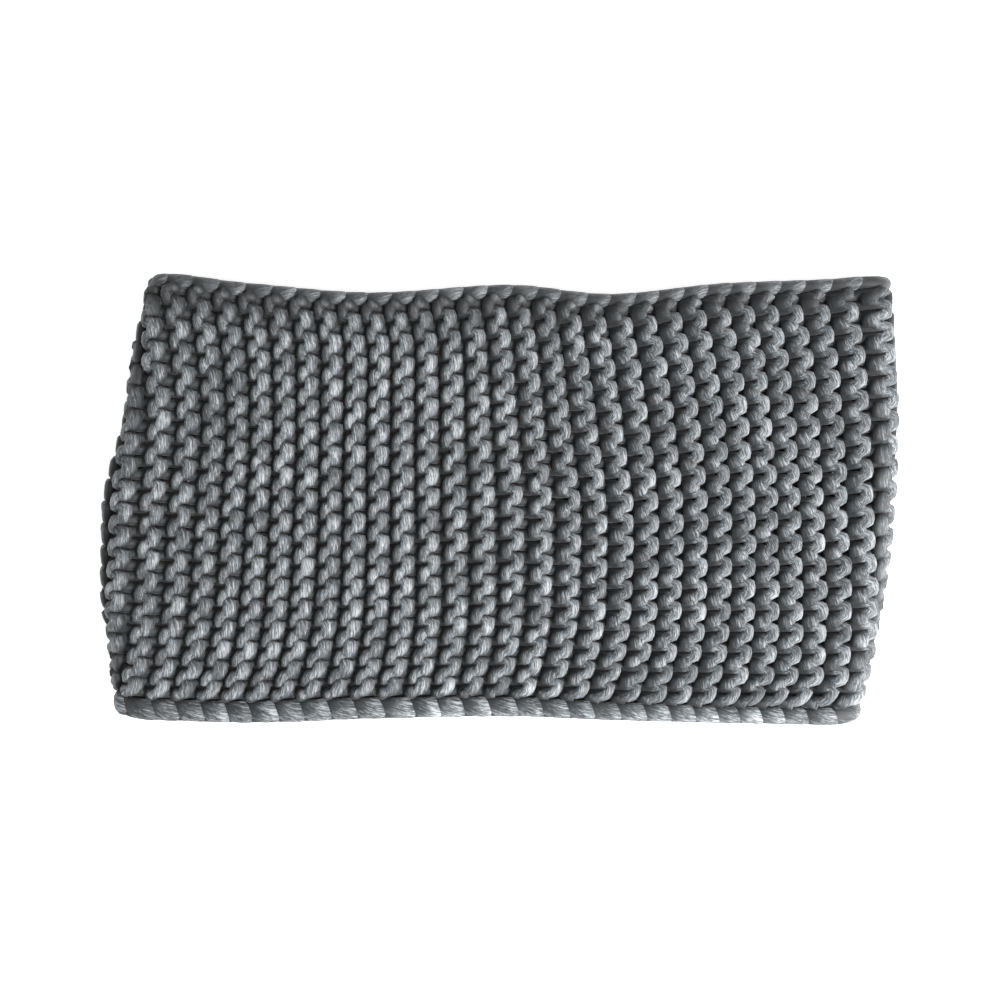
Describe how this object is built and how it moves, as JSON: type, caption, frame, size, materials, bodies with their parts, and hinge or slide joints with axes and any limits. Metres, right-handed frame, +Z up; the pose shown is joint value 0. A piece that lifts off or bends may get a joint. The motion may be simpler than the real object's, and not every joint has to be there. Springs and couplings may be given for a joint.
{
  "type": "ear warmer headband",
  "caption": "Wide ear warmer headband in chunky garter stitch, one soft knitted tube with chained edges, lying flat and folded double.",
  "frame": {"origin": "middle of the band's footprint, on the surface it lies on", "axes": "+X from fold to fold, +Y from the lower rim to the upper rim, +Z up from the surface"},
  "size_m": [0.2294, 0.1283, 0.0188],
  "materials": {
    "garter_stitch": "soft blue-grey acrylic yarn, matt with a faint sheen along the fibres",
    "chained_edge": "the same blue-grey acrylic yarn, in larger and smoother links"
  },
  "bodies": {
    "root": {"band": "garter_stitch", "upper_edge": "chained_edge", "lower_edge": "chained_edge"}
  },
  "joints": []
}
